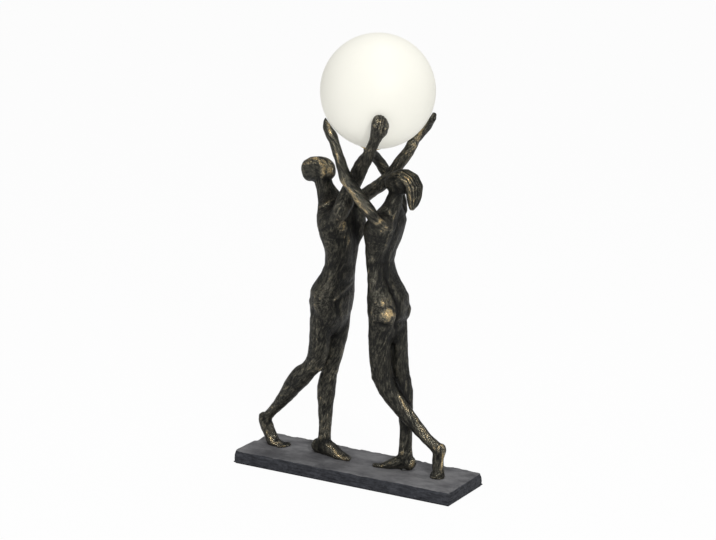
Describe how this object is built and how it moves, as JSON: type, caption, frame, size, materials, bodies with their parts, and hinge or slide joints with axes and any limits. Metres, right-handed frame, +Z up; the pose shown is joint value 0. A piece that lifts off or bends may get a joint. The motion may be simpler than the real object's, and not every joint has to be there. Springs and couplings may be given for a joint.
{
  "type": "figural table lamp",
  "caption": "Table lamp: striding abstract figures in rubbed dark bronze stand on a slate slab and hold up an opal glass globe with raised hands; globe and capsule bulb pull off",
  "frame": {"origin": "centre of the underside of the felt, on the surface that the lamp stands on", "axes": "+Z up, X along the slab's long edge, the usual viewing side faces -Y, the cord bush faces +Y"},
  "size_m": [0.338, 0.1533, 0.602],
  "materials": {
    "slate": "honed dark slate with chipped edges",
    "felt": "black felt",
    "steel": "zinc-plated",
    "bronzed_resin": "cast resin with dark bronze patina, high places rubbed golden",
    "lead_sheath": "white sheath",
    "black_rubber": "matt",
    "terminal_plastic": "moulded",
    "brass": "turned",
    "silicone": "translucent white",
    "ceramic": "unglazed steatite",
    "spring_steel": "spring temper",
    "opal_glass": "opal, satin",
    "clear_glass": "clear",
    "pin_wire": "nickel wire"
  },
  "bodies": {
    "lamp_stand": {"base_slab": "slate", "felt_pad": "felt", "wiring_cover": "steel", "cover_screws": "steel", "figure_left_body": "bronzed_resin", "figure_left_near_arm": "bronzed_resin", "figure_left_far_arm": "bronzed_resin", "figure_right_body": "bronzed_resin", "figure_right_near_arm": "bronzed_resin", "figure_right_far_arm": "bronzed_resin", "shoulder_dowels": "steel", "hollow_dowel": "steel", "internal_lead": "lead_sheath", "foot_studs": "steel", "stud_washers": "steel", "stud_nuts": "steel", "hollow_stud": "steel", "hollow_stud_washer": "steel", "hollow_stud_nut": "steel", "cord_bush": "black_rubber", "cord_clamp": "terminal_plastic", "clamp_screws": "steel", "terminal_block": "terminal_plastic", "terminal_screws": "steel", "holder_tube": "brass", "seat_cup": "brass", "tube_nut": "brass", "seat_gasket": "silicone", "lampholder": "ceramic", "holder_contacts": "brass", "globe_clip": "spring_steel"},
    "globe": {"glass_globe": "opal_glass"},
    "bulb": {"bulb_base": "ceramic", "bulb_envelope": "clear_glass", "bulb_pins": "pin_wire"}
  },
  "joints": [
    {"name": "globe_lift", "type": "slide", "parent": "lamp_stand", "child": "globe", "axis": [0.2001, -0.1202, 0.9724], "range_m": [0, 0.085]},
    {"name": "bulb_pull", "type": "slide", "parent": "lamp_stand", "child": "bulb", "axis": [0.2001, -0.1202, 0.9724], "range_m": [0, 0.02]}
  ]
}
